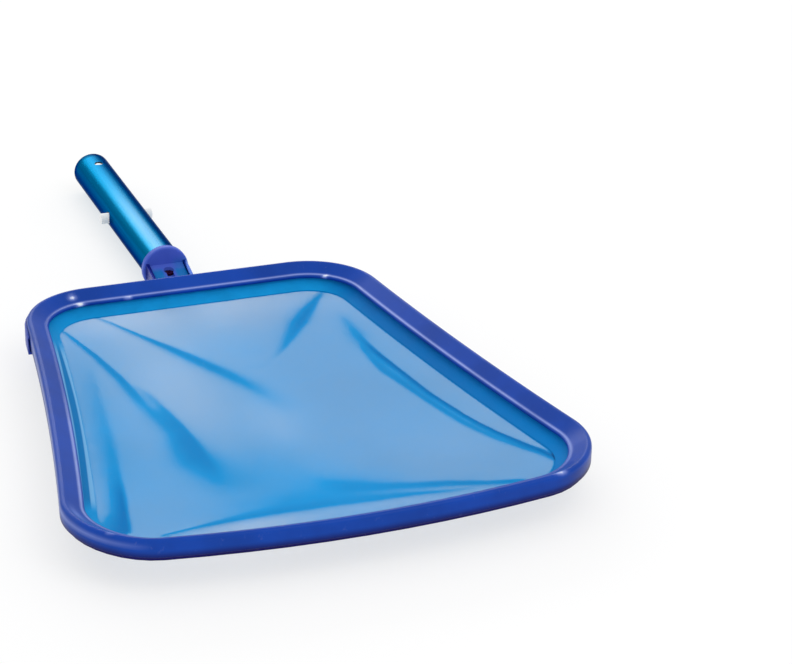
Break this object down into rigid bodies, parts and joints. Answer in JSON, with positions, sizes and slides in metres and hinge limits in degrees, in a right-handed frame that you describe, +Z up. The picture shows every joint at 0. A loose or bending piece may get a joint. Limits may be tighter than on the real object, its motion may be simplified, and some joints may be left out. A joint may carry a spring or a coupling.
{
  "type": "leaf skimmer net",
  "caption": "Shallow leaf skimmer net in a scoop-shaped plastic frame, on a short tube with spring buttons for a telescopic pole.",
  "frame": {"origin": "centre of the bounding box in plan, on the lowest point, which is the foot of the collar", "axes": "+Y along the tube towards its free end, +Z up out of the open face of the net, +X to the right as seen from the front edge"},
  "size_m": [0.3336, 0.6316, 0.0345],
  "materials": {
    "rim_plastic": "gloss",
    "ring_plastic": "satin",
    "yoke_plastic": "gloss",
    "socket_plastic": "gloss",
    "tube_anodised": "anodised blue",
    "clip_plastic": "satin",
    "hem_cloth": "woven",
    "net_mesh": "fine mesh",
    "screw_steel": "brushed",
    "dark_screw": "blackened"
  },
  "bodies": {
    "net_and_handle": {"rim": "rim_plastic", "clamp_ring": "ring_plastic", "net_hem": "hem_cloth", "net_panel": "net_mesh", "rear_yoke": "yoke_plastic", "pole_socket": "socket_plastic", "handle_tube": "tube_anodised", "clip_bow": "clip_plastic", "neck_screw": "dark_screw", "tube_screw": "screw_steel", "ring_screws": "screw_steel", "yoke_screws": "screw_steel"},
    "left_button": {"clip_leg_left": "clip_plastic"},
    "right_button": {"clip_leg_right": "clip_plastic"}
  },
  "joints": [
    {"name": "left_button_press", "type": "hinge", "parent": "net_and_handle", "child": "left_button", "pos_m": [-0.01107, 0.16775, 0.017], "axis": [0, 0, -1], "range_deg": [0, 7], "stiffness_Nm_per_rad": 2.4},
    {"name": "right_button_press", "type": "hinge", "parent": "net_and_handle", "child": "right_button", "pos_m": [0.01107, 0.16775, 0.017], "axis": [0, 0, 1], "range_deg": [0, 7], "stiffness_Nm_per_rad": 2.4}
  ]
}
